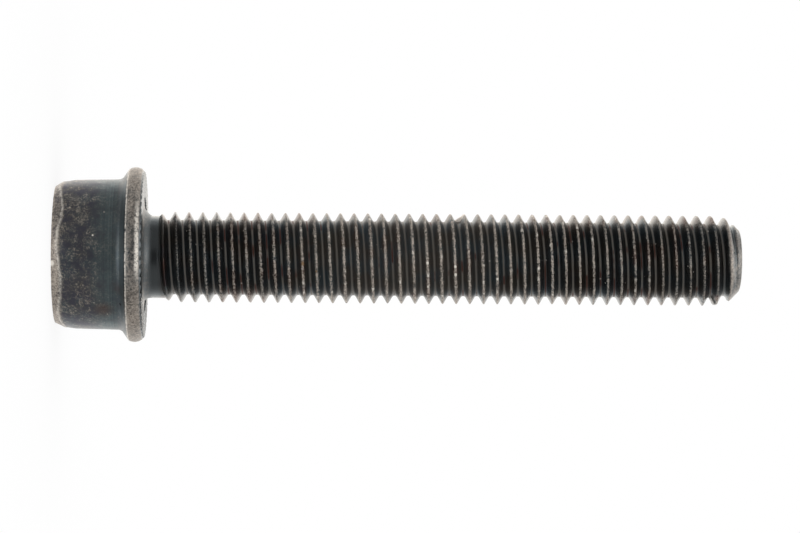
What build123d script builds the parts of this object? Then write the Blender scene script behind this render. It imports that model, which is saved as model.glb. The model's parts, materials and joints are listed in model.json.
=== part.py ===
from build123d import *

# Flanged hex socket head cap screw with a serrated bearing face, M10 x 1.5 x 65.
#
# It is cold forged from one length of wire, so it is one solid: a head with a hex
# socket, a flange whose underside is toothed so that it can't turn loose, a neck as
# thick as the wire, and the threaded shank. The shank is drawn at the size of its
# thread crests: the helix itself is far finer than everything else on the screw.
#
# It stands on its head. z = 0 is the flat top of the head, where the socket opens,
# and the shank rises along +Z. All sizes are in millimetres.

import os
from math import cos, radians, sin, sqrt, tan

# --- Shank ---
length_under_head = 65.0
thread_pitch = 1.5
crest_diameter = 9.85  # M10 cut to the usual 6g class lies a little under 10
neck_diameter = 8.95  # the wire itself: rolling raised the crests above it
neck_length = 1.5
runout_turns = 1.2  # turns that the crests take to rise out of the neck
neck_fillet = 1.15
end_face_diameter = 6.7
end_chamfer_angle = 45.0
end_edge_fillet = 0.35

# --- Head ---
head_height = 9.65  # flange included
head_diameter = 16.1  # at the top, where the draft starts
draft_angle = 1.3  # lets the forging leave its die
crown_width = 0.6  # the bevel round the top edge, measured across the top
crown_depth = 0.95  # and down the side

# --- Flange ---
flange_diameter = 19.1
rim_radius = 1.23  # the rim is a barrel: one round from the slope to the lip
rim_centre_depth = 1.0  # from the bearing face
lip_height = 0.3  # a bevel between the barrel and the bearing face
lip_angle = 45.0
flange_slope = 29.0  # from the flange's own plane
head_flange_fillet = 0.6

# --- Serrated bearing ring ---
recess_diameter = 12.6  # the ring's inner edge
recess_depth = 0.15
tooth_count = 60
groove_depth = 0.14  # at the rim's widest radius, as are the two widths
ramp_width = 0.45  # the side that slides while the screw is driven
stop_width = 0.15  # the steep side that bites when it tries to loosen
cutter_overrun = 0.5  # how far each groove's cutter passes the ring at both ends

# --- Hex socket ---
socket_across_flats = 8.0
socket_depth = 5.2
socket_floor_depth = 1.2  # the cone that the punch leaves below the flats
socket_mouth_diameter = 9.7
socket_mouth_angle = 45.0

tip_z = head_height + length_under_head
recess_z = head_height - recess_depth


def turned(outline):
    """Revolve an outline of (radius, z) points about the screw's axis."""
    return revolve(Plane.XZ * outline, Axis.Z)


def rounded(outline, corner, radius):
    """Round the one corner of a flat outline that lies nearest a point."""
    return fillet(outline.vertices().sort_by_distance(Vector(*corner))[0], radius)


def rim_points():
    """The barrel rim's start, widest point and end.

    It starts where the flange's slope touches it and ends at the foot of the lip.
    """
    widest = (flange_diameter / 2, head_height - rim_centre_depth)
    centre_radius = widest[0] - rim_radius
    slope = radians(flange_slope)
    start = (centre_radius + rim_radius * sin(slope), widest[1] - rim_radius * cos(slope))
    rise = rim_centre_depth - lip_height
    end = (centre_radius + sqrt(rim_radius**2 - rise**2), widest[1] + rise)
    return start, widest, end


def head_and_flange():
    """The head with its drafted side, run into the flange that it stands on."""
    rim_start, rim_widest, rim_end = rim_points()
    head_radius = head_diameter / 2
    draft = tan(radians(draft_angle))
    slope = tan(radians(flange_slope))
    head = Polyline(
        (0, 0),
        (head_radius - crown_width, 0),
        (head_radius + draft * crown_depth, crown_depth),
        (head_radius + draft * rim_widest[1], rim_widest[1]),
        (0, rim_widest[1]),
        close=True,
    )
    slope_at_axis = (0, rim_start[1] - slope * rim_start[0])
    rim = ThreePointArc(rim_start, rim_widest, rim_end)
    underside = Polyline(
        rim_end,
        (rim_end[0] - lip_height * tan(radians(lip_angle)), head_height),
        (recess_diameter / 2, head_height),
        (recess_diameter / 2, recess_z),
        (0, recess_z),
        slope_at_axis,
    )
    flange = Line(slope_at_axis, rim_start) + rim + underside
    # the corner between them lies where the drafted side crosses the slope
    corner_z = (slope * head_radius + slope_at_axis[1]) / (1 - slope * draft)
    corner = (head_radius + draft * corner_z, corner_z)
    outline = rounded(make_face(head) + make_face(flange), corner, head_flange_fillet)
    return turned(outline)


def neck_and_shank():
    """The neck with its fillet, the shank at crest size, and the chamfered end."""
    neck_radius = neck_diameter / 2
    crest_radius = crest_diameter / 2
    end_radius = end_face_diameter / 2
    thread_z = head_height + neck_length
    full_thread_z = thread_z + runout_turns * thread_pitch
    chamfer_z = tip_z - (crest_radius - end_radius) / tan(radians(end_chamfer_angle))
    outline = make_face(
        Polyline(
            (0, recess_z),
            (neck_radius + neck_fillet, recess_z),
            (neck_radius, recess_z + neck_fillet),
            (neck_radius, thread_z),
            (crest_radius, full_thread_z),
            (crest_radius, chamfer_z),
            (end_radius, tip_z),
            (0, tip_z),
            close=True,
        )
    )
    # the straight line across the fillet is hollowed by a circle that touches both sides
    hollow = Pos(neck_radius + neck_fillet, recess_z + neck_fillet) * Circle(neck_fillet)
    outline = rounded(outline - hollow, (end_radius, tip_z), end_edge_fillet)
    return turned(outline)


def hex_socket():
    """All that the punch removes: the hexagon, its coned floor and the key's lead-in."""
    apothem = socket_across_flats / 2
    mouth_radius = socket_mouth_diameter / 2
    mouth_depth = (mouth_radius - apothem) / tan(radians(socket_mouth_angle))
    flats = extrude(RegularPolygon(apothem, 6, major_radius=False), socket_depth)
    floor = Polyline(
        (0, 0),
        (apothem, 0),
        (apothem, socket_depth),
        (0, socket_depth + socket_floor_depth),
        close=True,
    )
    mouth = Polyline((0, 0), (mouth_radius, 0), (apothem, mouth_depth), (0, mouth_depth), close=True)
    return flats + turned(make_face(floor)) + turned(make_face(mouth))


def groove_corners(radius):
    """The three corners of a groove's V at a radius.

    Every size grows with the radius, so the groove's sides are flat and all meet on
    the axis. The V stands as far above the bearing plane as it reaches below it.
    """
    growth = radius / (flange_diameter / 2)
    depth = groove_depth * growth
    ramp = 2 * ramp_width * growth
    stop = 2 * stop_width * growth
    return [
        (radius, 0, head_height - depth),
        (radius, stop, head_height + depth),
        (radius, -ramp, head_height + depth),
    ]


def serration():
    """One groove for each tooth of the bearing ring, from the recess out past the rim."""
    outer = flange_diameter / 2 + cutter_overrun
    inner = recess_diameter / 2 - cutter_overrun
    groove = ConvexPolyhedron(groove_corners(inner) + groove_corners(outer))
    first = 180 / tooth_count  # so that a tooth, not a groove, lies on +X
    return [place * groove for place in PolarLocations(0, tooth_count, first)]


def screw():
    """The forging, then its socket, then the teeth."""
    return head_and_flange() + neck_and_shank() - hex_socket() - serration()


os.makedirs("parts", exist_ok=True)
export_step(screw(), "parts/screw.step")
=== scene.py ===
# %% [markdown]
# # A flanged socket head cap screw
#
# The real screw is one piece of steel. Wire is forged into a head with a hexagon socket and a
# flange, the thread is rolled between two dies, and a hot bath turns the steel black. Handling
# then rubs the black off whatever stands proud: the crown, the rim and the thread's crests.
#
# The solid in the frame has every form but the thread and the crown's waves. So this lesson
# makes one closed surface that keeps the solid's form and adds the helix, the waves and small
# dents, and then gives it one steel finish that knows how rubbed each place is.

# %% Load the solid
import json
from math import asin, cos, pi, radians, sin, sqrt, tan

import bpy
import numpy as np
from mathutils import Matrix, Vector


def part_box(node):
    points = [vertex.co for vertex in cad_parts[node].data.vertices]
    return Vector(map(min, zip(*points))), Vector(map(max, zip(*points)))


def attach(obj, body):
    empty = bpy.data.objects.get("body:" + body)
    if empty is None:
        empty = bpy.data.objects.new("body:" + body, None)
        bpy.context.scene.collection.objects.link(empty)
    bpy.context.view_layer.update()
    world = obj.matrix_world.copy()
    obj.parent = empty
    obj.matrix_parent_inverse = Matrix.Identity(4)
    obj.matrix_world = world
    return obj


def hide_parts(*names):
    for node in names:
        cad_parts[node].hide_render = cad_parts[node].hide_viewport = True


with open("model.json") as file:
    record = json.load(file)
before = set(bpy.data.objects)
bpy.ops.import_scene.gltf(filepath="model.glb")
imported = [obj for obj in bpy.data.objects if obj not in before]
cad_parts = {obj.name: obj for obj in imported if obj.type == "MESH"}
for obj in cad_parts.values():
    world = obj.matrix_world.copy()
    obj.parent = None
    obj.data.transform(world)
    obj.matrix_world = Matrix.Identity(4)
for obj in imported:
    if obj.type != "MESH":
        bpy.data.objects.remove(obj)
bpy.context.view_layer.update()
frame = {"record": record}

MM = 0.001

# %% [markdown]
# ## Sizes
#
# Whatever the frame states is read from it: how high the bearing face lies, the radius of the
# thread's crests, the flange and the tip. The rest are the forging's own sizes in millimetres.
# Heights count up from the head's top, on which the screw stands.

# %% Sizes of the forging
mounts = {mount["name"]: mount for mount in frame["record"]["mounts"]}
lowest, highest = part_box("screw")
INSIDE = 0.01  # the rim stays this much inside the solid's box
BEARING = mounts["bearing_face"]["pos_m"][2] / MM
CREST_R = mounts["threaded_shank"]["dims"]["r_mm"]
FLANGE_R = min(highest.x, highest.y, -lowest.x, -lowest.y) / MM - INSIDE
TIP = highest.z / MM

SOCKET_FLAT_R = 4.0  # half the 8 mm across flats
SOCKET_DEPTH = 5.2
SOCKET_FLOOR = 1.2
MOUTH_R = 4.85
CROWN_IN_R = 7.45
CROWN_DEPTH = 0.87  # on the mean
CROWN_WAVE = 0.25
CROWN_WAVES = 6
CROWN_WAVE_AT = radians(67.5)
CROWN_RIPPLE = 0.16
RIPPLE_SIZE = 1.1
HEAD_R = 8.05
CORNER_FALL = 0.1  # the side's top edge is pressed in by this much, so its corner looks round,
CORNER_SPAN = 1.3  # and the pressing fades out over this height
DRAFT = tan(radians(1.3))
CORNER_FILLET = 0.6  # in the corner between the head and the flange
SLOPE = radians(29)  # of the flange, from level
RIM_ROUND = 1.23
RIM_CENTRE = 1.0  # below the bearing face
LIP = 0.3
RECESS_R = 6.3
RECESS = 0.15
TEETH = 60
GROOVE = 0.14  # depth at the rim
STOP_SHARE = 0.15  # of one tooth's pitch
RAMP_SHARE = 0.45
NECK_R = 4.475
NECK_FILLET = 1.15
END_R = 3.35
END_FILLET = 0.35
SHANK_SHIFT = 0.24  # the head was forged this much off the shank's axis
print("bearing face at", BEARING, "tip at", round(TIP, 2), "flange radius", round(FLANGE_R, 3))

# %% [markdown]
# ## A grid of rows and columns
#
# Every stretch of the screw is a grid: rows follow the outline from the socket to the tip, and
# columns go round the axis. Grids that share an edge are made with the same points there, so a
# weld by position closes all seams and poles at once. It also drops the faces that have shrunk
# to a line.

# %% Grid, weld and outline helpers
def lattice(x, y, z):
    """Corners and quads of a grid whose rows run along the screw and columns round it.

    Corner (row, column) is number row * columns + column. Columns run anticlockwise, seen from
    the tip, and rows run from the socket over the head to the tip.
    """
    rows, columns = x.shape
    number = np.arange(rows * columns).reshape(rows, columns)
    a, b = number[:-1, :-1], number[:-1, 1:]
    c, d = number[1:, 1:], number[1:, :-1]
    quads = np.stack([a, b, c, d], axis=-1).reshape(-1, 4)
    return np.stack([x, y, z], axis=-1).reshape(-1, 3), quads


def weld(grids):
    """Join grids into one list of corners and triangles, corners at one place made one."""
    corners = np.concatenate([grid[0] for grid in grids])
    starts = np.cumsum([0] + [len(grid[0]) for grid in grids[:-1]])
    quads = np.concatenate([grid[1] + start for grid, start in zip(grids, starts)])
    cell = np.round(corners * 1e4).astype(np.int64)  # ten-thousandths of a millimetre
    _, first, same = np.unique(cell, axis=0, return_index=True, return_inverse=True)
    same = same.reshape(-1)
    triangles = np.concatenate([same[quads[:, [0, 1, 2]]], same[quads[:, [0, 2, 3]]]])
    a, b, c = triangles.T
    return corners[first], triangles[(a != b) & (b != c) & (c != a)]


def shares(count):
    """The column of shares k / count, from 0 to 1, one for each row of a grid."""
    return np.linspace(0, 1, count + 1)[:, None]


def straight(start, end, count):
    """Outline points at even steps from start to end: start + (end - start) * k / count."""
    return np.array(start) + shares(count) * (np.array(end) - np.array(start))


def arc(centre, radius, start, end, count):
    """Outline points on a circle: centre + radius * (cos a, sin a), a from start to end."""
    angle = np.linspace(start, end, count + 1)
    return np.array(centre) + radius * np.stack([np.cos(angle), np.sin(angle)], axis=-1)


def smooth(low, high, value):
    """0 below low, 1 above high, and the curve 3t^2 - 2t^3 between them."""
    t = np.clip((value - low) / (high - low), 0, 1)
    return t * t * (3 - 2 * t)


chance = np.random.RandomState(10)
CHANCE_TABLE = chance.rand(32, 32, 32)


def mottle(x, y, z, size):
    """Smooth random values about 0, from -0.5 to 0.5, that change over about size.

    Each corner of a cubic lattice has a random value. A place takes the mean of the eight
    corners round it, each weighted by the curve 3t^2 - 2t^3 of its nearness.
    """
    # without the shift, the cells of all sizes would have a corner in common, at the origin
    place = np.stack(np.broadcast_arrays(x, y, z), axis=-1) / size + 100.5
    low = np.floor(place).astype(int)
    t = place - low
    t = t * t * (3 - 2 * t)
    total = 0
    for corner in np.ndindex(2, 2, 2):
        weight = np.prod(np.where(corner, t, 1 - t), axis=-1)
        i, j, k = np.moveaxis((low + corner) % 32, -1, 0)
        total = total + weight * CHANCE_TABLE[i, j, k]
    return total - 0.5


print("helpers ready; mottle at the origin is", round(float(mottle(0, 0, 0, 1.0)), 3))

# %% [markdown]
# ## The hexagon socket and the head
#
# The columns stand where the form needs them. Each of the flange's 60 teeth has four: the foot
# of its groove, the top of the steep side, the hexagon's own angles, and the top of the ramp.
# Round the hexagon, a wall's radius is the flat's half width over the cosine of the angle from
# the flat's middle, so the six corners fall on columns and stay sharp.
#
# The crown is the bevel round the head's top edge. Its foot isn't level: it waves six times on
# the way round, and forging left it a little uneven. So its height is a mean, plus a cosine of
# six times the angle, plus a little smooth randomness.

# %% Columns and socket
tooth_pitch = 2 * pi / TEETH
foot, stop_top, land, ramp_top = -0.5, STOP_SHARE - 0.5, 0.0, 0.5 - RAMP_SHARE
tooth_columns = np.array([foot, stop_top, land, ramp_top]) * tooth_pitch
tooth_angles = (np.arange(TEETH)[:, None] * tooth_pitch + tooth_columns).ravel()
tooth_angles = np.append(tooth_angles, tooth_angles[0] + 2 * pi)


def hexagon(angle):
    """Radius of a hexagon with corners on +X and -X: half width / cos(angle off the flat)."""
    return SOCKET_FLAT_R / np.cos(np.mod(angle, pi / 3) - pi / 6)


def around(radius, height, angle, shift=0.0):
    """The grid of corners x = shift + radius * cos a, y = radius * sin a, at these heights."""
    radius, height, angle, shift = np.broadcast_arrays(radius, height, angle, shift)
    return lattice(shift + radius * np.cos(angle), radius * np.sin(angle), height)


wall = hexagon(tooth_angles)
mouth_meets_wall = MOUTH_R - wall
floor_rows = straight((0, SOCKET_DEPTH + SOCKET_FLOOR), (SOCKET_FLAT_R, SOCKET_DEPTH), 4)
socket_floor = around(floor_rows[:, :1], floor_rows[:, 1:], tooth_angles)
ledge_radius = SOCKET_FLAT_R + shares(1) * (wall - SOCKET_FLAT_R)
socket_ledge = around(ledge_radius, SOCKET_DEPTH, tooth_angles)
wall_height = SOCKET_DEPTH + shares(8) * (mouth_meets_wall - SOCKET_DEPTH)
socket_wall = around(wall, wall_height, tooth_angles)
mouth_radius = wall + shares(2) * (MOUTH_R - wall)
socket_mouth = around(mouth_radius, mouth_meets_wall * (1 - shares(2)), tooth_angles)
print("socket corners at radius", round(float(wall.max()), 3))

# %% Head, flange and rim
rim_centre = (FLANGE_R - RIM_ROUND, BEARING - RIM_CENTRE)
rim_start = (rim_centre[0] + RIM_ROUND * sin(SLOPE), rim_centre[1] - RIM_ROUND * cos(SLOPE))
rim_end_angle = asin((RIM_CENTRE - LIP) / RIM_ROUND)
rim_end = (rim_centre[0] + RIM_ROUND * cos(rim_end_angle), BEARING - LIP)
slope_at_axis = rim_start[1] - tan(SLOPE) * rim_start[0]
# the corner's circle touches the drafted side and the slope, so its centre is a radius off both
off_side = HEAD_R + CORNER_FILLET * sqrt(1 + DRAFT**2)
off_slope = slope_at_axis - CORNER_FILLET / cos(SLOPE)
fillet_centre = np.linalg.solve([[1, -DRAFT], [-tan(SLOPE), 1]], [off_side, off_slope])
fillet_rows = arc(fillet_centre, CORNER_FILLET, pi - np.arctan(DRAFT), pi / 2 + SLOPE, 7)
slope_rows = straight(fillet_rows[-1], rim_start, 3)
rim_rows = arc(rim_centre, RIM_ROUND, SLOPE - pi / 2, rim_end_angle, 15)

wave = np.cos(CROWN_WAVES * (tooth_angles + CROWN_WAVE_AT))
ripple = mottle(8 * np.cos(tooth_angles), 8 * np.sin(tooth_angles), 5, RIPPLE_SIZE)
crown_foot = CROWN_DEPTH + CROWN_WAVE * wave + CROWN_RIPPLE * ripple
side_top = HEAD_R - CORNER_FALL + DRAFT * crown_foot
head_top = around(MOUTH_R + shares(2) * (CROWN_IN_R - MOUTH_R), 0, tooth_angles)
crown_radius = CROWN_IN_R + shares(6) * (side_top - CROWN_IN_R)
crown = around(crown_radius, shares(6) * crown_foot, tooth_angles)
# the power draws the side's rows together near the crown
side_height = crown_foot + shares(14) ** 1.5 * (fillet_rows[0, 1] - crown_foot)
corner_fall = CORNER_FALL * smooth(CORNER_SPAN, 0.0, side_height - crown_foot)
side = around(HEAD_R - corner_fall + DRAFT * side_height, side_height, tooth_angles)
skirt_rows = np.concatenate([fillet_rows, slope_rows[1:], rim_rows[1:]])
skirt = around(skirt_rows[:, :1], skirt_rows[:, 1:], tooth_angles)
print("crown foot between", np.round([crown_foot.min(), crown_foot.max()], 2), "mm")

# %% [markdown]
# ## The toothed bearing ring and the neck
#
# Sixty ratchet teeth are pressed into the ring that bears on the work. Each groove falls
# steeply on one side and rises slowly on the other, so the screw turns on easily and bites when
# it tries to come loose. A groove's depth and widths all grow with radius, so that every edge
# points at the axis.
#
# The neck is as thick as the wire. It leaves the flange through a hollow fillet, and there the
# grid moves over to the shank's own axis, because the head was struck a little off it.

# %% Teeth and neck
def tooth_drop(angle):
    """How far the tooth surface lies below the land, as a share of the groove's depth.

    It is 1 at the groove's foot, and falls evenly to 0 at the top of the steep side and, the
    other way round, at the top of the ramp.
    """
    part = np.mod(angle / tooth_pitch + 0.5, 1.0) - 0.5
    part = np.where(part > 0.5 - 1e-6, part - 1, part)
    stop = np.clip((stop_top - part) / (stop_top - foot), 0, 1)
    ramp = np.clip((part - ramp_top) / (0.5 - ramp_top), 0, 1)
    return np.maximum(stop, ramp)


ring_outer = rim_end[0] - LIP
lip_rows = straight(rim_end, (ring_outer, BEARING), 6)
ring_rows = straight((ring_outer, BEARING), (RECESS_R, BEARING), 4)
ring_rows = np.concatenate([lip_rows, ring_rows[1:]])
drop = GROOVE * ring_rows[:, :1] / FLANGE_R * tooth_drop(tooth_angles)
ring = around(ring_rows[:, :1], np.minimum(ring_rows[:, 1:], BEARING - drop), tooth_angles)
recess_z = BEARING - RECESS
recess_height = BEARING - drop[-1:] + shares(2) * (drop[-1:] - RECESS)
recess_wall = around(RECESS_R, recess_height, tooth_angles)
hollow_centre = (NECK_R + NECK_FILLET, recess_z + NECK_FILLET)
hollow_rows = arc(hollow_centre, NECK_FILLET, -pi / 2, -pi, 9)
floor_rows = straight((RECESS_R, recess_z), hollow_rows[0], 3)
neck_rows = np.concatenate([floor_rows, hollow_rows[1:]])
neck_shift = SHANK_SHIFT * smooth(recess_z, recess_z + NECK_FILLET, neck_rows[:, 1:])
neck = around(neck_rows[:, :1], neck_rows[:, 1:], tooth_angles, neck_shift)
print("ring from radius", RECESS_R, "to", round(ring_outer, 2), "and", TEETH, "teeth")

# %% [markdown]
# ## The rolled thread
#
# Rolling presses the roots in and squeezes the crests up. Both are round: the crest a tight
# one, the root a wider one, with straight flanks at 60 degrees between them. The two round
# radii add up to what is left of the sharp triangle's height once the thread's depth is taken.
#
# The grid's rows climb with the helix, by one pitch in each turn, so that they run along the
# crests and roots and keep them crisp. After a whole turn a row meets the row that is one pitch
# above it. A wedge of rows fills the gap down to the neck, and another one the gap up to the
# tip.
#
# The dies don't press the ends as they press the middle. The crests rise out of the neck over
# most of a millimetre, later on one side, and the last turns stay a little low, because the wire
# has a chamfer there.

# %% Thread profile
PITCH = 1.5
ROOT_R = 4.04
CREST_ROUND = 0.12
TURN_STEPS = 2 * TEETH  # half as many columns as the head has
CREST_AT = BEARING + 2.923  # a crest's height at the seam, which is on the back of the screw
FIRST_RISE = (1.45, 2.25)  # the crests rise out of the neck between these, from the bearing face
LATE_RISE = 0.7  # and by so much higher up on one side
LAST_SINK = 0.2  # the last turns are lower by this much
EDGE_SOFTNESS = 0.1  # of the edge between the thread and the chamfer
flank = radians(30)
root_round = PITCH / 2 / tan(flank) - (CREST_R - ROOT_R) - CREST_ROUND
crest_reach = CREST_ROUND * cos(flank)
root_reach = root_round * cos(flank)


def thread_radius(offset):
    """Radius at an axial offset from a crest: a small circle, a straight flank, a large circle."""
    t = np.abs(np.mod(offset + PITCH / 2, PITCH) - PITCH / 2)
    from_root = PITCH / 2 - t
    on_crest = CREST_R - CREST_ROUND + np.sqrt(np.maximum(CREST_ROUND**2 - t**2, 0))
    on_root = ROOT_R + root_round - np.sqrt(np.maximum(root_round**2 - from_root**2, 0))
    on_flank = CREST_R - CREST_ROUND * (1 - sin(flank)) - (t - crest_reach) / tan(flank)
    return np.where(t < crest_reach, on_crest, np.where(from_root < root_reach, on_root, on_flank))


print("crest round", CREST_ROUND, "root round", round(root_round, 3))

# %% Thread surface
def sink(height):
    """How much lower the shank is near the tip, where the wire's chamfer ran out of steel."""
    return LAST_SINK * smooth(TIP - 3.0, TIP - 1.8, height)


def shank_radius(turn, height):
    """The shank's radius at a share of a turn past the seam, and a height.

    Near the neck it is the wire's radius plus a share of what the thread adds to that. Near the
    tip it is the soft minimum of this profile and the chamfer's cone: a share t goes from 0 to 1
    as the cone rises above the profile, and the radius is cone + (profile - cone) * t less
    softness * t * (1 - t).
    """
    full = thread_radius(height - CREST_AT - PITCH * turn)
    late = LATE_RISE * np.maximum(-np.sin(2 * pi * turn), 0) ** 2
    rise = smooth(BEARING + FIRST_RISE[0], BEARING + FIRST_RISE[1], height - late)
    profile = NECK_R + rise * (full - NECK_R) - sink(height)
    cone = END_R + TIP - height
    t = np.clip(0.5 + (cone - profile) / (2 * EDGE_SOFTNESS), 0, 1)
    return cone + (profile - cone) * t - EDGE_SOFTNESS * t * (1 - t)


# each round of the profile has five rows, at these angles, and each flank has one in its middle
round_angles = np.radians([-60, -30, 0, 30, 60])
crest_steps = CREST_ROUND * np.sin(round_angles)
root_steps = PITCH / 2 + root_round * np.sin(round_angles)
middle = (crest_reach + PITCH / 2 - root_reach) / 2
profile_steps = np.sort(np.concatenate([crest_steps, [middle], root_steps, [PITCH - middle]]))
rows_per_pitch = len(profile_steps)
pitches = int((TIP - BEARING) / PITCH) + 2
chamfer_foot = TIP - END_FILLET * tan(radians(22.5)) * cos(radians(45))
# the first row starts on a crest, and the last one is still below the tip's round after its turn
row_heights = CREST_AT - PITCH + (np.arange(pitches)[:, None] * PITCH + profile_steps).ravel()
row_heights = row_heights[row_heights > CREST_AT - PITCH - 1e-9]
row_heights = row_heights[row_heights + PITCH < chamfer_foot]
turn = np.linspace(0, 1, TURN_STEPS + 1)
seam_angles = pi / 2 + 2 * pi * turn


def shank_grid(height):
    """The shank's grid of corners at these heights, on the shank's own axis."""
    return around(shank_radius(turn, height), height, seam_angles, SHANK_SHIFT)


helix = shank_grid(row_heights[:, None] + PITCH * turn)
low = row_heights[0]
low_wedge = shank_grid(low + (row_heights[: rows_per_pitch + 1, None] - low) * turn)
high = row_heights[-1] + PITCH
under_high = high - row_heights[-rows_per_pitch - 1 :, None] - PITCH
high_wedge = shank_grid(high - under_high * (1 - turn))
print("rows per pitch", rows_per_pitch, "and", len(row_heights), "rows on the helix")

# %% Neck join and tip
# every second column of the head's grid slides onto its neighbour, which halves their number
paired_angles = np.append(np.repeat(tooth_angles[:-1].reshape(-1, 2)[:, 0], 2), tooth_angles[-1])
join_angles = np.stack([tooth_angles, paired_angles])
join_heights = np.array([[neck_rows[-1, 1]], [low]])
neck_join = around(NECK_R, join_heights, join_angles, SHANK_SHIFT)
chamfer_rows = straight((0, high), (0, chamfer_foot), 3)[:, 1:]
chamfer_top = shank_grid(chamfer_rows + 0 * turn)
end_centre = (END_R - END_FILLET * tan(radians(22.5)), TIP - END_FILLET)
end_rows = arc(end_centre, END_FILLET, radians(45), radians(90), 4)
face_rows = straight(end_rows[-1], (0, TIP), 4)
end_rows = np.concatenate([end_rows, face_rows[1:]])
end = around(end_rows[:, :1], end_rows[:, 1:], seam_angles, SHANK_SHIFT)
print("chamfer ends at radius", round(float(end_rows[0, 0]), 3))

grids = [socket_floor, socket_ledge, socket_wall, socket_mouth, head_top, crown, side, skirt]
grids += [ring, recess_wall, neck, neck_join, low_wedge, helix, high_wedge, chamfer_top, end]
corners, triangles = weld(grids)
print(len(corners), "corners and", len(triangles), "triangles")

# %% [markdown]
# ## Dents and how rubbed each place is
#
# Forged and handled steel isn't true to a hundredth of a millimetre. So corners move by a
# little smooth randomness, most on the crown, along their own radius. They never move along the
# axis, which keeps the faces that bear flat, and hardly ever outward, which keeps the screw in
# the solid's box.
#
# A blow also left a burr on one crest and a flap on one flank. Both are made by pushing out to
# a given radius whatever lies below it there.
#
# Seven numbers then go with each corner, for the finish to read: how rubbed the place is, its
# height on the thread from the root at 0 to the crest at 1, whether it's on the thread, how worn
# the crests are there, how far it lies from the crown's foot, how speckled the head's side is,
# and how hazy its shine is.

# %% Places on the screw
# a zone is 1 on its own place and falls to 0 over some tenths of a millimetre at its edges
x, y, z = corners.T
outside = np.hypot(x, y)
on_head = (z < BEARING + 0.01) & (outside > MOUTH_R)
on_shank = (z > BEARING + 0.6) & (outside < CREST_R + SHANK_SHIFT + 0.2)
shank_out = np.hypot(x - SHANK_SHIFT, y)
crown_zone = on_head * smooth(CROWN_IN_R - 0.5, CROWN_IN_R, outside) * smooth(1.5, 0.6, z)
rim_zone = on_head * smooth(rim_start[1] + 0.25, rim_start[1] + 0.4, z) * (outside > HEAD_R)
bearing_zone = on_head * smooth(BEARING - 0.4, BEARING - 0.2, z)
side_zone = on_head * smooth(rim_start[1] + 0.2, rim_start[1] - 0.4, z) * (z > 0.05)
off_cone = shank_out - (END_R + TIP - z)
tip_zone = on_shank * smooth(-0.37, -0.12, off_cone)
thread_zone = on_shank * smooth(BEARING + FIRST_RISE[0], BEARING + FIRST_RISE[1], z)
thread_zone = thread_zone * smooth(TIP - 1.4, TIP - 2.4, z)
thread_height = (shank_out + sink(z) - ROOT_R) / (CREST_R - ROOT_R)
thread_height = on_shank * np.clip(thread_height, 0, 1)
here = np.mod(np.arctan2(y, x) - tooth_angles[0], 2 * pi) + tooth_angles[0]
from_ridge = z - np.interp(here, tooth_angles, crown_foot)
print("corners on the head", int(on_head.sum()), "and on the shank", int(on_shank.sum()))

# %% Dents
DENT_OUT = 0.02  # no corner moves out by more than this
EDGE_WORN = 0.14  # the edge where the flange's slope meets its rim is worn round by this
NICK = 0.22  # crests are nicked by this share of how far the randomness lies
NICK_BELOW = -0.12  # below this
dent = 0
# each zone has its depth, and the sizes of its randomness with the strength of each
for depth, zone, sizes in [
    (0.10, crown_zone, {1.1: 1.0, 0.45: 0.6}),
    (0.05, rim_zone, {0.9: 1.0, 0.4: 0.7}),
    (0.03, side_zone, {0.8: 1.0}),
    (0.05, tip_zone, {0.5: 1.0}),
]:
    for size, strength in sizes.items():
        dent = dent + depth * strength * zone * mottle(x, y, z, size)
near_edge = (outside > HEAD_R) * smooth(0.45, 0.0, np.abs(z - rim_start[1] - 0.05))
dent = dent - EDGE_WORN * on_head * near_edge
nick = np.minimum(mottle(x, y, z, 0.55) - NICK_BELOW, 0)
dent = np.minimum(dent + NICK * thread_height**3 * nick, DENT_OUT)
centre_x = np.where(on_shank, SHANK_SHIFT, 0.0)
reach = np.hypot(x - centre_x, y)
scale = 1 + dent / np.maximum(reach, 1)
print("dents from", round(float(dent.min()), 3), "to", round(float(dent.max()), 3), "mm")


# %% Burr and flap
def push_out(radius, share):
    """What the scale gains by a share of the way out to a radius: share * way / reach."""
    return share * np.maximum(radius - reach, 0) / np.maximum(reach, 1)


# one crest near the tip was struck, and a burr of it hangs over the flank
BURR_Z = 71.9
BURR_R = CREST_R - 0.08
burr = on_shank * smooth(BURR_Z - 0.5, BURR_Z, z) * smooth(BURR_Z + 0.5, BURR_Z + 0.1, z)
burr = burr * smooth(1.3, 0.7, np.abs(y + 0.5)) * (x > 0)
scale = scale + push_out(BURR_R, burr)
# further down, a flap of rolled steel leans on a flank, and fills the root below it
FLAP_Z = 43.56  # its foot
FLAP_TOP = FLAP_Z + 0.94
FLAP_FOOT_R = 4.3
FLAP_LEAN = 0.66  # millimetres out for each millimetre up
flap = on_shank * smooth(FLAP_Z - 0.26, FLAP_Z - 0.01, z) * smooth(FLAP_TOP, FLAP_TOP - 0.14, z)
flap = flap * smooth(0.8, 0.4, np.abs(y + 0.2)) * (x < 0)
scale = scale + push_out(FLAP_FOOT_R + FLAP_LEAN * (z - FLAP_Z), flap)
corners = np.stack([centre_x + (x - centre_x) * scale, y * scale, z], axis=-1)
print("burr on", int((burr > 0).sum()), "corners, flap on", int((flap > 0).sum()))

# %% Rubbed places
# the crown has a darker stretch on one side, and the rim is worn least at its lip
crown_middle = smooth(-0.05, -0.25, from_ridge) * smooth(0.1, 0.3, z) * smooth(-1.2, -2.6, x)
at_lip = smooth(BEARING - 0.28, BEARING - 0.12, z)
rim_wear = 0.65 + 0.16 * smooth(3.5, 6.0, np.abs(x)) - 0.5 * at_lip
# the last crest is rubbed all the way round
last_crest = on_shank * smooth(0.5, 0.7, thread_height) * smooth(TIP - 1.9, TIP - 1.6, z)
last_crest = last_crest * smooth(TIP - 0.7, TIP - 0.95, z)
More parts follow.
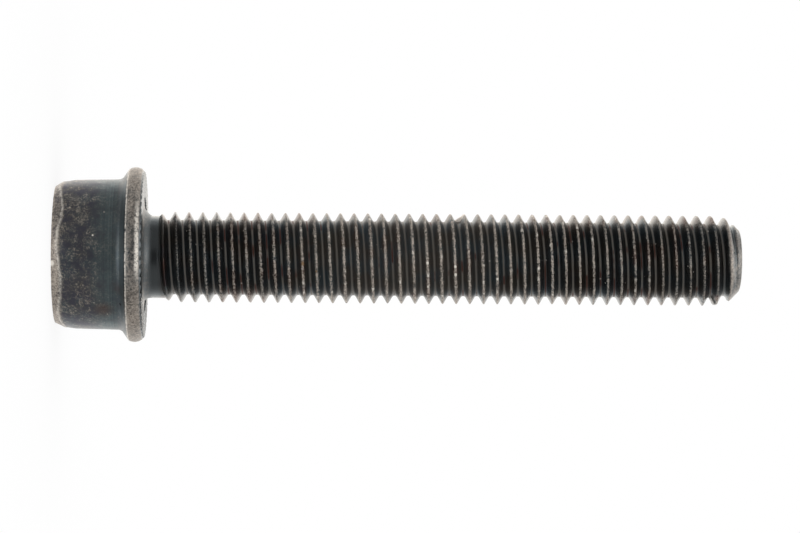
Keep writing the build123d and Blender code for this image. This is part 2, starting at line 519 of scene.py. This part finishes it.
# the hollow between the teeth and the neck is rubbed by whatever is clamped
hollow_zone = (z > recess_z - 0.05) & (outside < RECESS_R - 0.05) & (outside > MOUTH_R - 0.5)
hollow = smooth(recess_z + 1.0, recess_z + 0.5, z)
hollow_foot = smooth(recess_z + 0.35, recess_z + 0.1, z)
rubbed = np.max(
    [
        crown_zone * (0.88 - 0.2 * crown_middle),
        rim_zone * rim_wear,
        0.15 * bearing_zone,
        0.58 * tip_zone,
        0.82 * last_crest,
        0.5 * on_head * (z < 0.05),  # the head's top
        0.34 * hollow_zone * hollow,
        0.6 * hollow_zone * hollow_foot,
    ],
    axis=0,
)
print("mean rubbed share", round(float(rubbed.mean()), 3))

# %% Worn crests, speckles and haze
MIDWAY = 42  # crests are worn most round this height, and not at all on the first turn
crest_wear = 0.64 + 0.36 * smooth(30, 8, np.abs(z - MIDWAY))
crest_wear = crest_wear * smooth(BEARING + 2.6, BEARING + 5.0, z)
# the head's side is speckled towards the crown, where fingers and the floor reach it
side_wear = side_zone * (0.3 + 0.7 * smooth(6.2, 3.8, z) + 0.4 * smooth(1.0, 0.0, from_ridge))
# dried oil lies on the head's side, in the hollow and on the thread, there most at one height
OILIEST = 38
slope_zone = on_head * smooth(rim_start[1] - 0.7, rim_start[1] - 0.3, z)
slope_zone = slope_zone * smooth(rim_start[1] + 0.4, rim_start[1] + 0.1, z)
haze = np.maximum(side_zone, 1.1 * slope_zone)
haze = haze + 1.4 * hollow_zone * smooth(recess_z + 1.1, recess_z + 0.7, z)
haze = haze + on_shank * thread_zone * (0.1 + 0.9 * smooth(20, 0, np.abs(z - OILIEST)))
print("mean haze", round(float(haze.mean()), 3))

# %% [markdown]
# ## The piece
#
# The mesh takes the corners in metres and the triangles as they are. Its normals are smooth,
# except where two faces meet at more than 40 degrees, as at the hexagon and the teeth.

# %% Make the mesh
SHARP = radians(40)
mesh = bpy.data.meshes.new("steel_screw")
mesh.from_pydata(corners * MM, [], triangles)
mesh.shade_smooth()
mesh.set_sharp_from_angle(angle=SHARP)
measures = {
    "rubbed": rubbed,
    "thread_height": thread_height,
    "thread_zone": thread_zone,
    "crest_wear": crest_wear,
    "from_ridge": from_ridge,
    "side_wear": side_wear,
    "haze": haze,
}
for name, values in measures.items():
    layer = mesh.attributes.new(name, "FLOAT", "POINT")
    layer.data.foreach_set("value", values.astype(np.float32))
screw = bpy.data.objects.new("steel_screw", mesh)
bpy.context.scene.collection.objects.link(screw)
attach(screw, "root")
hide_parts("screw")
print(screw.name, "has", len(mesh.polygons), "faces")

# %% [markdown]
# ## Black oxide steel
#
# A hot salt bath turns the outermost micron of the steel to magnetite, which is nearly black
# and keeps the shine of the metal below it, dulled by a film of oil. Where it's rubbed off, the
# bare steel is a warm light grey. In the thread's roots a little brown rust has started.
#
# So the finish is one metal all over. Its colour goes from black to steel, and its shine from
# glossy to matt, by how rubbed a place is, broken up by noise. The noise sizes are those of the
# real marks. The masks come first, each from 0 to 1, and then the colours that they mix.

# %% Node helpers
def linear(code):
    """An sRGB hex code as linear red, green, blue and alpha."""
    values = [int(code[place : place + 2], 16) / 255 for place in (1, 3, 5)]
    low = [value / 12.92 for value in values]
    high = [((value + 0.055) / 1.055) ** 2.4 for value in values]
    return [h if value > 0.04045 else l for value, l, h in zip(values, low, high)] + [1.0]


def add(tree, kind, inputs, out=None, **settings):
    """Add a node with its settings, fill its inputs with values or links, and give an output."""
    node = tree.nodes.new(kind)
    for name, value in settings.items():
        setattr(node, name, value)
    for name, value in inputs.items():
        sockets = [s for s in node.inputs if s.enabled]
        socket = sockets[name] if isinstance(name, int) else {s.name: s for s in sockets}[name]
        if isinstance(value, bpy.types.NodeSocket):
            tree.links.new(value, socket)
        else:
            socket.default_value = value
    return next((s for s in node.outputs if s.enabled and out in (None, s.name)), None)


print("white is", linear("#ffffff"))

# %% Places and noises
steel = bpy.data.materials.new("black_oxide_steel")
steel.use_nodes = True
tree = steel.node_tree
tree.nodes.clear()
place = add(tree, "ShaderNodeTexCoord", {}, "Object")
place_mm = add(tree, "ShaderNodeVectorMath", {0: place, "Scale": 1 / MM}, operation="SCALE")
x_mm = add(tree, "ShaderNodeSeparateXYZ", {"Vector": place_mm}, "X")
z_mm = add(tree, "ShaderNodeSeparateXYZ", {"Vector": place_mm}, "Z")
worn, height, threaded, crest_worn, ridge_gap, side_worn, hazy = [
    add(tree, "ShaderNodeAttribute", {}, "Fac", attribute_name=name) for name in measures
]
# a noise for each size of mark: its size in millimetres, how many finer noises are added to it,
# and how strong each of them is against the one before
noises = []
for size, detail, share in [
    (1.3, 5.0, 0.68), (0.26, 4.0, 0.75), (0.13, 3.0, 0.7), (2.5, 2.0, 0.5), (3.5, 2.0, 0.5)
]:
    noise_inputs = {"Vector": place, "Scale": 1 / (size * MM), "Detail": detail}
    noises.append(add(tree, "ShaderNodeTexNoise", {**noise_inputs, "Roughness": share}))
blotch, grain, fine, cloud, rust_noise = noises
marks = add(tree, "ShaderNodeMath", {0: blotch, 1: grain}, operation="ADD")
print(len(noises), "noises")

# %% Rub marks
# blotches a millimetre across are broken up by a grain of a fifth of that. Each noise is 0.5 on
# the mean, so the sum of two less 1 adds to some places and takes from others
SPREAD = 1.6
offset = add(tree, "ShaderNodeMath", {0: marks, 1: SPREAD, 2: -SPREAD}, operation="MULTIPLY_ADD")
rub = add(tree, "ShaderNodeMath", {0: worn, 1: offset}, operation="ADD")
rub_inputs = {"Value": rub, "From Min": 0.12, "From Max": 0.9}
rub = add(tree, "ShaderNodeMapRange", rub_inputs, interpolation_type="SMOOTHSTEP")
lasting = add(tree, "ShaderNodeMath", {0: rub, 1: worn}, operation="MULTIPLY")
print("rub marks:", len(tree.nodes), "nodes so far")

# %% Bare crests
# a crest is bare where the steel stands highest. Noise makes the bare band's edge ragged, less
# so near the tip, and wear widens it
RAGGED = 0.85
WIDENED = 0.14
ragged = add(tree, "ShaderNodeMath", {0: fine, 1: grain}, operation="ADD")
ragged = add(tree, "ShaderNodeMath", {0: ragged, 1: RAGGED, 2: -RAGGED}, operation="MULTIPLY_ADD")
even_inputs = {"Value": z_mm, "From Min": 45.0, "From Max": 58.0, "To Min": 1.0, "To Max": 0.6}
even = add(tree, "ShaderNodeMapRange", even_inputs, interpolation_type="SMOOTHSTEP")
stand = add(tree, "ShaderNodeMath", {0: ragged, 1: even, 2: height}, operation="MULTIPLY_ADD")
stand_inputs = {0: crest_worn, 1: WIDENED, 2: stand}
stand = add(tree, "ShaderNodeMath", stand_inputs, operation="MULTIPLY_ADD")
crest_inputs = {"Value": stand, "From Min": 1.0, "From Max": 1.14, "To Max": 0.95}
crest = add(tree, "ShaderNodeMapRange", crest_inputs, interpolation_type="SMOOTHSTEP")
crest = add(tree, "ShaderNodeMath", {0: crest, 1: crest_worn}, operation="MULTIPLY")
# here and there a crest was struck, and the flattened spot shines
struck_inputs = {"Vector": place, "Scale": 1 / (1.1 * MM), "Detail": 0.0}
struck = add(tree, "ShaderNodeTexVoronoi", struck_inputs, "Distance")
struck = add(tree, "ShaderNodeMapRange", {"Value": struck, "From Min": 0.3, "From Max": 0.12})
knobs = add(tree, "ShaderNodeMapRange", {"Value": stand, "From Min": 0.92, "From Max": 1.07})
for share in (struck, crest_worn):
    knobs = add(tree, "ShaderNodeMath", {0: knobs, 1: share}, operation="MULTIPLY")
crest = add(tree, "ShaderNodeMath", {0: crest, 1: knobs}, operation="MAXIMUM")
print("crests:", len(tree.nodes), "nodes so far")

# %% Bright lines
# three lines are made bright, each with a wavering edge: the ridge at the crown's foot and the edge
# where the rim starts, which are rubbed, and a ring on the rim's shoulder, which is rubbed and also
# a painted highlight
WAVER = 0.45
waver = add(tree, "ShaderNodeMath", {0: marks, 1: WAVER, 2: -WAVER}, operation="MULTIPLY_ADD")
z_wavy = add(tree, "ShaderNodeMath", {0: waver, 1: 0.4, 2: z_mm}, operation="MULTIPLY_ADD")
ridge = add(tree, "ShaderNodeMath", {0: ridge_gap, 1: waver}, operation="ADD")
ridge = add(tree, "ShaderNodeMath", {0: ridge}, operation="ABSOLUTE")
ridge_inputs = {"Value": ridge, "From Min": 0.26, "From Max": 0.04, "To Max": 0.8}
ridge = add(tree, "ShaderNodeMapRange", ridge_inputs)
rim_worn = add(tree, "ShaderNodeMapRange", {"Value": worn, "From Min": 0.2, "From Max": 0.6})


def ring_line(line_z, half_width):
    """A ring at a height: 1 where the wavy height is near it, times how worn the rim is."""
    gap = add(tree, "ShaderNodeMath", {0: z_wavy, 1: line_z}, operation="SUBTRACT")
    gap = add(tree, "ShaderNodeMath", {0: gap}, operation="ABSOLUTE")
    gap_inputs = {"Value": gap, "From Min": half_width, "From Max": 0.3 * half_width}
    ring = add(tree, "ShaderNodeMapRange", gap_inputs, interpolation_type="SMOOTHSTEP")
    return add(tree, "ShaderNodeMath", {0: ring, 1: rim_worn}, operation="MULTIPLY")


rim_edge = ring_line(rim_start[1] + 0.42, 0.11)
worn_ring_and_highlight = ring_line(BEARING - 0.47, 0.36)
# the ring, rubbed and with its painted highlight, is bright in front and behind, and that fades out
# 5 mm to either side
from_middle = add(tree, "ShaderNodeMath", {0: x_mm, 1: -1.6}, operation="SUBTRACT")
from_middle = add(tree, "ShaderNodeMath", {0: from_middle}, operation="ABSOLUTE")
fade_inputs = {"Value": from_middle, "From Min": 5.5, "From Max": 2.5}
fade = add(tree, "ShaderNodeMapRange", fade_inputs, interpolation_type="SMOOTHSTEP")
worn_ring_and_highlight = add(tree, "ShaderNodeMath", {0: worn_ring_and_highlight, 1: fade}, operation="MULTIPLY")
lines = ridge
for ring in (rim_edge, worn_ring_and_highlight):
    lines = add(tree, "ShaderNodeMath", {0: lines, 1: ring}, operation="MAXIMUM")
patchy = add(tree, "ShaderNodeMapRange", {"Value": grain, "From Min": 0.32, "From Max": 0.52})
lines = add(tree, "ShaderNodeMath", {0: lines, 1: patchy}, operation="MULTIPLY")
print("lines:", len(tree.nodes), "nodes so far")

# %% Marks at their own places
# each mark lies round a point in millimetres, from its outer radius in to where it's full
marked = {}
for name, centre, outer, inner in [
    ("speck", (-2.02, -7.9, 4.47), 0.14, 0.07),
    ("pit", (5.35, -6.6, 7.38), 0.2, 0.08),
    ("scuff", (4.47, -6.8, 3.49), 1.5, 0.4),
    ("chip", (0.85, -4.87, 26.93), 0.32, 0.12),
    ("small_chip", (1.68, -4.7, 28.33), 0.18, 0.06),
    ("stain", (5.95, -5.57, 5.5), 1.6, 0.2),
    ("notch", (1.0, -7.45, 0.1), 0.42, 0.2),
    ("glint", (6.7, -5.9, 7.9), 0.25, 0.1),
    ("flap", (-4.4, -0.55, 43.9), 0.85, 0.55),
    ("burr", (4.5, -0.6, 71.62), 0.42, 0.24),
    ("fleck", (-3.3, -2.6, 39.48), 0.24, 0.1),
    ("knob_a", (1.1, -4.84, 43.32), 0.24, 0.14),
    ("knob_b", (1.95, -4.6, 43.38), 0.24, 0.14),
    ("knob_c", (0.7, -4.89, 40.3), 0.22, 0.12),
    ("knob_d", (2.4, -4.42, 47.95), 0.22, 0.12),
]:
    centre_inputs = {0: place_mm, 1: centre}
    gap = add(tree, "ShaderNodeVectorMath", centre_inputs, "Value", operation="DISTANCE")
    near_inputs = {"Value": gap, "From Min": outer, "From Max": inner}
    marked[name] = add(tree, "ShaderNodeMapRange", near_inputs, interpolation_type="SMOOTHSTEP")
# these are bright steel, as the lines are; the glint on the rim's edge is a painted highlight
for name in ("speck", "notch", "glint", "fleck", "knob_a", "knob_b", "knob_c", "knob_d"):
    lines = add(tree, "ShaderNodeMath", {0: lines, 1: marked[name]}, operation="MAXIMUM")
print(len(marked), "marks")

# %% Dust, specks and hairs
# dust lies about in specks of a tenth of a millimetre
dust = add(tree, "ShaderNodeTexVoronoi", {"Vector": place, "Scale": 1 / (1.6 * MM)}, "Distance")
dust_inputs = {"Value": dust, "From Min": 0.07, "From Max": 0.03, "To Max": 0.7}
dust = add(tree, "ShaderNodeMapRange", dust_inputs)
lines = add(tree, "ShaderNodeMath", {0: lines, 1: dust}, operation="MAXIMUM")
# the head's side is only speckled: with specks, and with hairs along thin contours of a noise
specks_inputs = {"Value": marks, "From Min": 1.06, "From Max": 1.24, "To Max": 0.38}
specks = add(tree, "ShaderNodeMapRange", specks_inputs, interpolation_type="SMOOTHSTEP")
contour_inputs = {"Vector": place, "Scale": 1 / (0.6 * MM), "Detail": 4.0, "Distortion": 1.2}
hair = add(tree, "ShaderNodeTexNoise", contour_inputs)
hair = add(tree, "ShaderNodeMath", {0: hair, 1: 0.5}, operation="SUBTRACT")
hair = add(tree, "ShaderNodeMath", {0: hair}, operation="ABSOLUTE")
hair_inputs = {"Value": hair, "From Min": 0.024, "From Max": 0.006, "To Max": 0.82}
hair = add(tree, "ShaderNodeMapRange", hair_inputs)
scuff_inputs = {0: marked["scuff"], 1: 0.5, 2: blotch}
hairy = add(tree, "ShaderNodeMath", scuff_inputs, operation="MULTIPLY_ADD")
hairy = add(tree, "ShaderNodeMapRange", {"Value": hairy, "From Min": 0.4, "From Max": 0.56})
hair = add(tree, "ShaderNodeMath", {0: hair, 1: hairy}, operation="MULTIPLY")
speckled = add(tree, "ShaderNodeMath", {0: specks, 1: hair}, operation="MAXIMUM")
speckled = add(tree, "ShaderNodeMath", {0: speckled, 1: side_worn}, operation="MULTIPLY")
bare = lasting
for mask in (crest, lines, speckled):
    bare = add(tree, "ShaderNodeMath", {0: bare, 1: mask}, operation="MAXIMUM")
print("all that is bare:", len(tree.nodes), "nodes so far")

# %% [markdown]
# ### Colours
#
# The black is never one colour, because the oxide isn't equally thick everywhere. Each tint has
# a share, and the tints are laid over one another in turn. Bare steel then covers them by its
# own mask, and the few marks that are neither black nor bare come last.

# %% Tints of the black oxide
# clouds of brown and blue, more blue on the head's side, with violet blotches on it
cloud_inputs = {"Value": cloud, "From Min": 0.37, "From Max": 0.68}
cloud_share = add(tree, "ShaderNodeMapRange", cloud_inputs)
on_side = add(tree, "ShaderNodeMath", {0: z_mm, 1: BEARING}, operation="LESS_THAN")
side_inputs = {0: on_side, 1: 0.3, 2: cloud_share}
cloud_share = add(tree, "ShaderNodeMath", side_inputs, operation="MULTIPLY_ADD")
violet_inputs = {"Value": blotch, "From Min": 0.58, "From Max": 0.4}
violet_share = add(tree, "ShaderNodeMapRange", violet_inputs)
violet_share = add(tree, "ShaderNodeMath", {0: violet_share, 1: side_worn}, operation="MULTIPLY")
# next to the flange the head's side was turned, and its fine rings shimmer blue-green
teal_inputs = {"Value": z_wavy, "From Min": 3.4, "From Max": 6.2}
teal_share = add(tree, "ShaderNodeMapRange", teal_inputs, interpolation_type="SMOOTHSTEP")
patch = add(tree, "ShaderNodeMapRange", {"Value": blotch, "From Min": 0.3, "From Max": 0.55})
off_slope_inputs = {"Value": z_wavy, "From Min": 7.1, "From Max": 6.5, "To Min": 0.3}
off_slope = add(tree, "ShaderNodeMapRange", off_slope_inputs)
for share in (patch, hazy, on_side, off_slope):
    teal_share = add(tree, "ShaderNodeMath", {0: teal_share, 1: share}, operation="MULTIPLY")
ring_inputs = {"W": z_mm, "Scale": 4.0, "Detail": 3.0, "Roughness": 0.7}
rings = add(tree, "ShaderNodeTexNoise", ring_inputs, noise_dimensions="1D")
rings = add(tree, "ShaderNodeMapRange", {"Value": rings, "From Min": 0.3, "From Max": 0.7})
ring_share = add(tree, "ShaderNodeMath", {0: rings, 1: teal_share}, operation="MULTIPLY")
# the drawn neck is smoother than the forged head, and its black is a lighter blue
on_neck = add(tree, "ShaderNodeMath", {0: z_mm, 1: BEARING - 0.2}, operation="GREATER_THAN")
on_neck = add(tree, "ShaderNodeMath", {0: on_neck, 1: threaded}, operation="SUBTRACT")
stain = add(tree, "ShaderNodeMath", {0: marked["stain"], 1: blotch}, operation="MULTIPLY")
print("tints:", len(tree.nodes), "nodes so far")

# %% Rust in the roots
# rust comes in stretches of a few millimetres, most of it round one height
RUSTY = 22.0
from_rusty = add(tree, "ShaderNodeMath", {0: z_mm, 1: RUSTY}, operation="SUBTRACT")
from_rusty = add(tree, "ShaderNodeMath", {0: from_rusty}, operation="ABSOLUTE")
rusty = add(tree, "ShaderNodeMapRange", {"Value": from_rusty, "From Min": 6.0, "To Max": 0.09})
rusty = add(tree, "ShaderNodeMath", {0: rust_noise, 1: rusty}, operation="ADD")
rusty = add(tree, "ShaderNodeMapRange", {"Value": rusty, "From Min": 0.56, "From Max": 0.62})
rust_halo = add(tree, "ShaderNodeMapRange", {"Value": height, "From Min": 0.3, "To Max": 0.6})
for share in (rusty, threaded):
    rust_halo = add(tree, "ShaderNodeMath", {0: rust_halo, 1: share}, operation="MULTIPLY")
# the very bottom of each root holds a line of dried oil or rust
low_inputs = {"Value": height, "From Min": 0.04, "From Max": 0.005}
root_line = add(tree, "ShaderNodeMapRange", low_inputs)
root_line = add(tree, "ShaderNodeMath", {0: root_line, 1: threaded}, operation="MULTIPLY")
print("roots:", len(tree.nodes), "nodes so far")

# %% Black and rust colours
rust = linear("#562c1f")
colour = linear("#67625d")  # a brown black
for share, tint in [
    (cloud_share, linear("#5f686d")),  # blue clouds
    (violet_share, linear("#5c5c66")),
    (teal_share, linear("#59666b")),
    (ring_share, linear("#727f80")),  # lighter rings in the teal
    (on_neck, linear("#767b7d")),
    (stain, linear("#6a4a3c")),
    (rust_halo, rust),
]:
    tint_inputs = {"Factor": share, "A": colour, "B": tint}
    colour = add(tree, "ShaderNodeMix", tint_inputs, data_type="RGBA")
oil_inputs = {"Factor": rusty, "A": linear("#77716a"), "B": rust}
oil = add(tree, "ShaderNodeMix", oil_inputs, data_type="RGBA")
black_inputs = {"Factor": root_line, "A": colour, "B": oil}
black = add(tree, "ShaderNodeMix", black_inputs, data_type="RGBA")
print("black:", len(tree.nodes), "nodes so far")

# %% Steel colours
# bare steel is patchy brown to light grey, and brighter in the lines and on the struck crests
grains = add(tree, "ShaderNodeMath", {0: fine, 1: 0.6, 2: grain}, operation="MULTIPLY_ADD")
polish_inputs = {"Value": worn, "From Min": 0.82, "From Max": 1.5, "To Max": 0.2}
polish = add(tree, "ShaderNodeMapRange", polish_inputs)
grains = add(tree, "ShaderNodeMath", {0: grains, 1: polish}, operation="ADD")
light_share = add(tree, "ShaderNodeMapRange", {"Value": grains, "From Min": 0.58, "From Max": 1.04})
light_share = add(tree, "ShaderNodeMath", {0: light_share, 1: lines}, operation="MAXIMUM")
light_inputs = {"Factor": light_share, "A": linear("#6a5f58"), "B": linear("#e2d6c8")}
light = add(tree, "ShaderNodeMix", light_inputs, data_type="RGBA")
bright = add(tree, "ShaderNodeMath", {0: lines, 1: knobs}, operation="MAXIMUM")
bright_inputs = {"Factor": bright, "A": light, "B": linear("#f6efe4")}
bright = add(tree, "ShaderNodeMix", bright_inputs, data_type="RGBA")
colour_inputs = {"Factor": bare, "A": black, "B": bright}
colour = add(tree, "ShaderNodeMix", colour_inputs, data_type="RGBA")
# the near-black of the pit and of the burr is painted shade; the pit has no hollow in the surface
for name, code in [
    ("pit", "#151412"),
    ("burr", "#151412"),
    ("chip", "#9a7c60"),
    ("small_chip", "#9a7c60"),
    ("flap", "#efe6dc"),
]:
    mark_inputs = {"Factor": marked[name], "A": colour, "B": linear(code)}
    colour = add(tree, "ShaderNodeMix", mark_inputs, data_type="RGBA")
print("colours:", len(tree.nodes), "nodes so far")

# %% Shine
# rubbed steel is full of fine scratches that scatter light like a matt surface, and so does a
# haze of dried oil, though less
HAZE_MATT = 0.4
matt = add(tree, "ShaderNodeMath", {0: hazy, 1: HAZE_MATT}, operation="MULTIPLY")
for share in (bare, root_line, marked["flap"]):
    matt = add(tree, "ShaderNodeMath", {0: matt, 1: share}, operation="MAXIMUM")
metal = add(tree, "ShaderNodeMapRange", {"Value": matt, "To Min": 1.0, "To Max": 0.5})
rough = add(tree, "ShaderNodeMapRange", {"Value": matt, "To Min": 0.24, "To Max": 0.5})
bump = add(tree, "ShaderNodeBump", {"Height": marks, "Strength": 0.6, "Distance": 0.02 * MM})
shader_inputs = {"Base Color": colour, "Metallic": metal, "Roughness": rough, "Normal": bump}
shader = add(tree, "ShaderNodeBsdfPrincipled", shader_inputs)
add(tree, "ShaderNodeOutputMaterial", {"Surface": shader})
mesh.materials.append(steel)
print(len(tree.nodes), "nodes")

# %% [markdown]
# ## Floor, light and camera
#
# The screw stands on its head on a white floor, in a light tent that is open towards the camera.
# The tent's walls are white, and the room behind the camera is dim. That is how dark metal is
# pictured: it mirrors the dim room where it faces the camera, and the white walls where it
# turns away.
#
# Only mirrored light sees the tent. Scattered light has the same level from everywhere, so a
# plain colour looks as it is written, and the camera sees plain white.

# %% Floor
FLOOR_SIZE = 3.0
SELF_LIT = 0.85  # this share of the floor's white is its own, so shadows on it are faint
half = FLOOR_SIZE / 2
square = [(-half, -half, 0), (half, -half, 0), (half, half, 0), (-half, half, 0)]
floor_mesh = bpy.data.meshes.new("floor")
floor_mesh.from_pydata(square, [], [(0, 1, 2, 3)])
floor = bpy.data.objects.new("floor", floor_mesh)
bpy.context.scene.collection.objects.link(floor)
floor.visible_glossy = False  # the steel mirrors the tent, whose walls reach below the floor
paper = bpy.data.materials.new("white_paper")
paper.use_nodes = True
tree = paper.node_tree
tree.nodes.clear()
white = linear("#ffffff")
matt = add(tree, "ShaderNodeBsdfDiffuse", {"Color": white})
lit = add(tree, "ShaderNodeEmission", {"Color": white, "Strength": 1.0})
even = add(tree, "ShaderNodeMixShader", {"Fac": SELF_LIT, 1: matt, 2: lit})
add(tree, "ShaderNodeOutputMaterial", {"Surface": even})
paper.cycles.emission_sampling = "NONE"
floor_mesh.materials.append(paper)
print("floor", FLOOR_SIZE, "m wide")

# %% Parts of the tent
# each part's light goes smoothly from one level to another between two directions, and a level
# of 1 is plain white
ROOM = 0.165
WALL = 0.85
tent = bpy.data.worlds.new("light_tent")
bpy.context.scene.world = tent
tent.use_nodes = True
tent.cycles.sampling_method = "NONE"  # so that mirrored and scattered light each see their own
tree = tent.node_tree
tree.nodes.clear()
# a direction has three parts: down in the picture, away from the camera and along the screw
direction = add(tree, "ShaderNodeTexCoord", {}, "Generated")
down, away, along = [
    add(tree, "ShaderNodeSeparateXYZ", {"Vector": direction}, axis) for axis in "XYZ"
]
off_middle = add(tree, "ShaderNodeMath", {0: down}, operation="ABSOLUTE")
off_level = add(tree, "ShaderNodeMath", {0: along}, operation="ABSOLUTE")
light = {}
for name, part, start, end, first, last in [
    ("wall", away, -0.1, 1.1, ROOM, WALL),  # lighter from beside the screw to behind it
    ("under", along, -0.9, -0.55, 0.5, 1.0),  # nothing but the dark room is under the head
    ("tip", along, 0.5, 0.72, 0.0, 1.0),  # a lit panel stands past the tip
    ("head", along, -0.3, -0.5, 0.0, 0.6),  # and one past the head, brighter
    ("low", along, -0.6, -0.9, 0.0, 1.0),  # lower down,
    ("near", away, 0.1, -0.2, 0.0, 1.0),  # but only on the camera's side
    ("middle", off_middle, 0.45, 0.1, 0.4, 1.2),  # both are brightest in the middle
    ("side", down, 0.1, 0.8, 0.0, 0.05),  # the picture's lower side is a little lighter
    ("sweep", away, 0.4, 1.1, 0.0, 1.0),  # a lamp lights the white sweep behind the screw
    ("beside", off_level, 0.7, 0.35, 0.0, 1.0),  # but not past the screw's ends
    ("camera", away, -0.99, -0.86, 0.4, 1.0),  # the camera itself is a dark spot
]:
    ends = {"From Min": start, "From Max": end, "To Min": first, "To Max": last}
    part_inputs = {"Value": part, **ends}
    light[name] = add(tree, "ShaderNodeMapRange", part_inputs, interpolation_type="SMOOTHSTEP")
print(len(light), "parts")

# %% Light tent
panels = light["head"]
for operation, name in [
    ("MAXIMUM", "low"), ("MULTIPLY", "near"), ("MAXIMUM", "tip"), ("MULTIPLY", "middle")
]:
    panels = add(tree, "ShaderNodeMath", {0: panels, 1: light[name]}, operation=operation)
light["panels"] = panels
walls = light["wall"]
for operation, name in [("MULTIPLY", "under"), ("MAXIMUM", "panels"), ("ADD", "side")]:
    walls = add(tree, "ShaderNodeMath", {0: walls, 1: light[name]}, operation=operation)
# the lamp behind the screw is stronger towards the picture's top, and a little warm
tilt_inputs = {"Value": down, "From Min": -0.4, "From Max": 0.4, "To Min": 1.2, "To Max": 0.45}
tilt = add(tree, "ShaderNodeMapRange", tilt_inputs)
lamp = add(tree, "ShaderNodeMath", {0: light["sweep"], 1: tilt}, operation="MULTIPLY")
lamp_inputs = {0: lamp, 1: light["beside"], 2: walls}
walls = add(tree, "ShaderNodeMath", lamp_inputs, operation="MULTIPLY_ADD")
mirrored = add(tree, "ShaderNodeMath", {0: walls, 1: light["camera"]}, operation="MULTIPLY")
warm_inputs = {"Factor": lamp, "A": white, "B": linear("#fff9f1")}
warmth = add(tree, "ShaderNodeMix", warm_inputs, data_type="RGBA")
# mirrored light sees all this, and everything else sees plain white
glossy = add(tree, "ShaderNodeLightPath", {}, "Is Glossy Ray")
level = add(tree, "ShaderNodeMix", {"Factor": glossy, "A": 1.0, "B": mirrored})
tent_inputs = {"Factor": glossy, "A": white, "B": warmth}
tent_colour = add(tree, "ShaderNodeMix", tent_inputs, data_type="RGBA")
glow = add(tree, "ShaderNodeBackground", {"Color": tent_colour, "Strength": level})
add(tree, "ShaderNodeOutputWorld", {"Surface": glow})
print("tent:", len(tree.nodes), "nodes")

# %% Camera
# the camera looks level across the screw, and is rolled a quarter turn, so that the screw runs
# from its head on the left to its tip on the right
LENS = 143.93
YAW = radians(1.7596)
ROLL = radians(0.4014)  # beyond the quarter turn
DISTANCE = 0.34983
DROP = 0.000854  # from the aim to the picture's middle
AIM_RISE = 0.027863  # from the bearing face to the aim
along_x, along_y, along_z = Vector((1, 0, 0)), Vector((0, 1, 0)), Vector((0, 0, 1))
right = cos(YAW) * cos(ROLL) * along_z - sin(ROLL) * along_x - sin(YAW) * cos(ROLL) * along_y
up = -cos(YAW) * sin(ROLL) * along_z - cos(ROLL) * along_x + sin(YAW) * sin(ROLL) * along_y
forward = sin(YAW) * along_z + cos(YAW) * along_y
aim = Vector((SHANK_SHIFT * MM, 0, BEARING * MM + AIM_RISE))
spot = aim - DROP * up - DISTANCE * forward
camera = bpy.data.objects.new("camera", bpy.data.cameras.new("camera"))
camera.data.lens = LENS
camera.data.clip_start = 0.01
turned = Matrix((right, up, -forward)).transposed().to_4x4()
camera.matrix_world = Matrix.Translation(spot) @ turned
bpy.context.scene.collection.objects.link(camera)
bpy.context.scene.camera = camera
bpy.context.scene.view_settings.view_transform = "Standard"
print("camera at", [round(value / MM, 1) for value in spot], "mm")
